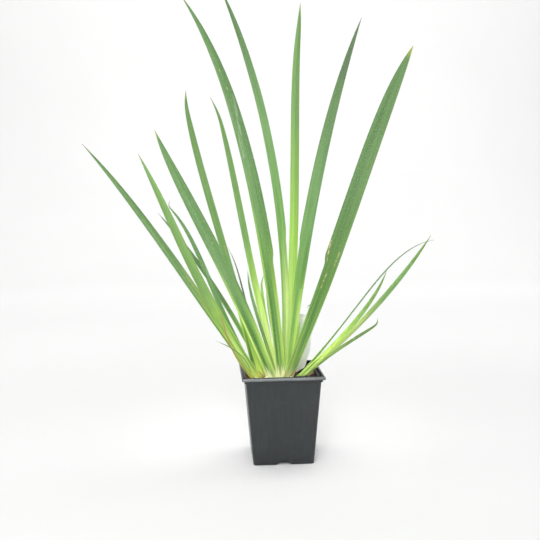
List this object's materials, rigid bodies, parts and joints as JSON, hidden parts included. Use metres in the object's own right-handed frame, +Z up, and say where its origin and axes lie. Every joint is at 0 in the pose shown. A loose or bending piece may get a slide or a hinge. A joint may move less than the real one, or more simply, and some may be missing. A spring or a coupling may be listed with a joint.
{
  "type": "potted wild iris",
  "caption": "Clump of sword-shaped iris leaves in fans on a short rhizome, growing in a small square tapered nursery pot with a blank stake label.",
  "frame": {"origin": "middle of the pot's base, on the surface that the pot stands on", "axes": "+Z up; the pot's sides face X and Y; the leaf fans spread along X and the pictured front faces -Y"},
  "size_m": [0.3737, 0.1602, 0.5244],
  "materials": {
    "pot_plastic": "satin moulded charcoal black",
    "soil": "dark loose potting mix",
    "rhizome": "rough fibrous",
    "leaf_deep": "satin, fine lengthwise veins",
    "leaf_bright": "satin, fine lengthwise veins",
    "leaf_pale": "satin, fine lengthwise veins",
    "leaf_dried": "dry papery",
    "label_plastic": "smooth, blank",
    "bark": "rough"
  },
  "bodies": {
    "root": {"pot": "pot_plastic", "soil": "soil", "rhizome": "rhizome", "label": "label_plastic", "bark_chip_1": "bark", "bark_chip_2": "bark", "bark_chip_3": "bark", "bark_chip_4": "bark", "middle_fan_broad_left": "leaf_deep", "middle_fan_broad_right": "leaf_deep", "middle_fan_tall_broad": "leaf_deep", "middle_fan_short_dark": "leaf_deep", "middle_fan_tall_slim": "leaf_deep", "middle_fan_tall_right": "leaf_deep", "middle_fan_narrow_strip": "leaf_deep", "middle_fan_back_left": "leaf_deep", "left_fan_low_arching": "leaf_deep", "left_fan_hooked": "leaf_deep", "right_fan_thin_arching": "leaf_deep", "middle_fan_upright": "leaf_bright", "middle_fan_light_left": "leaf_bright", "left_fan_tall": "leaf_bright", "middle_fan_thin_hooked": "leaf_bright", "left_fan_bright": "leaf_bright", "right_fan_hooked": "leaf_bright", "right_fan_sheath_leaf": "leaf_bright", "right_fan_long": "leaf_bright", "middle_fan_pale_shoot": "leaf_pale", "middle_fan_short_light": "leaf_pale", "middle_fan_thin_left": "leaf_dried", "left_fan_dried": "leaf_dried", "left_fan_dried_curl": "leaf_dried"}
  },
  "joints": []
}
